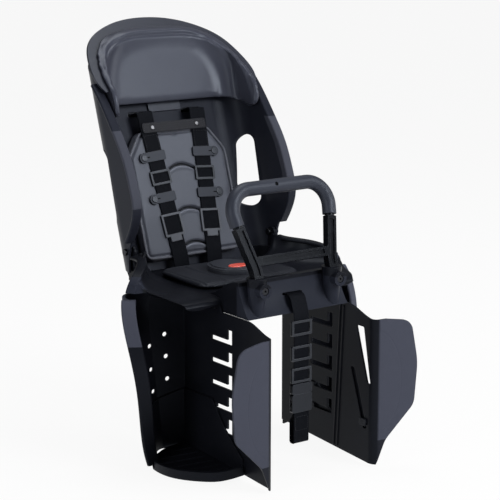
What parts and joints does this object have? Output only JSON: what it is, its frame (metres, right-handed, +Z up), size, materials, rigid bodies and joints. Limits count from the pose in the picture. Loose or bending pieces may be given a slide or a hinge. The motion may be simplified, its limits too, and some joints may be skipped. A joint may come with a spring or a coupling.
{
  "type": "child bike seat",
  "caption": "Rear-mounted child bike seat with moulded back, sliding headrest, padded liner, shoulder harness with push-button buckle, grip bar and leg guards with footplates.",
  "frame": {"origin": "middle of the four carrier bolt slots on the plane where the seat stands on the carrier", "axes": "+Z up, -Y the way the child faces, +X the child's left hand"},
  "size_m": [0.4788, 0.5438, 0.7074],
  "materials": {
    "shell_plastic": "satin near-black moulded shells",
    "guard_plastic": "matte near-black leg guards",
    "foot_plastic": "matte black footplates and straps' hooks",
    "headrest_cushion": "satin dark grey soft moulding",
    "liner": "dark grey padded liner",
    "webbing": "black woven webbing",
    "strap_hardware": "black moulded hardware with worn pale edges",
    "frame_hardware": "dark glossy frames on the webbing",
    "yoke_leather": "black coated strip",
    "buckle_plastic": "black buckle mouldings",
    "button_red": "orange-red button",
    "grip_plastic": "black bar legs",
    "grip_foam": "soft dark grey sleeve",
    "steel": "bright steel",
    "black_steel": "blackened screws"
  },
  "bodies": {
    "seat": {"back_shell": "shell_plastic", "seat_base": "shell_plastic", "side_bolts": "steel", "back_pad": "liner", "seat_pad": "liner", "shoulder_strap_left": "webbing", "shoulder_strap_right": "webbing", "harness_stops": "strap_hardware", "shoulder_yoke": "yoke_leather", "yoke_rivets": "steel", "strap_keepers": "strap_hardware", "keeper_snaps": "strap_hardware", "strap_adjusters": "frame_hardware", "buckle_tongue_left": "frame_hardware", "buckle_tongue_right": "frame_hardware", "crotch_strap": "webbing", "buckle_body": "buckle_plastic", "buckle_cover": "buckle_plastic", "buckle_spring": "steel", "grip_frame": "grip_plastic", "grip_cover": "grip_foam", "grip_screws": "black_steel", "leg_guard_left": "guard_plastic", "leg_guard_right": "guard_plastic", "guard_screws": "black_steel", "footplate_left": "foot_plastic", "footplate_right": "foot_plastic", "foot_strap_left": "foot_plastic", "foot_strap_right": "foot_plastic", "safety_strap": "webbing", "safety_loop_strap": "webbing", "safety_adjusters": "frame_hardware", "safety_buckle_male": "frame_hardware", "safety_buckle_female": "frame_hardware"},
    "headrest": {"headrest_shell": "shell_plastic", "headrest_pad": "headrest_cushion", "headrest_slider": "shell_plastic", "headrest_screws": "black_steel"},
    "button": {"buckle_button": "button_red"}
  },
  "joints": [
    {"name": "headrest_slide", "type": "slide", "parent": "seat", "child": "headrest", "axis": [0, 0.3173, 0.9483], "range_m": [0, 0.056]},
    {"name": "button_press", "type": "slide", "parent": "seat", "child": "button", "axis": [0, 0, -1], "range_m": [0, 0.0025], "stiffness_N_per_m": 400, "deforming": ["buckle_spring"]}
  ]
}
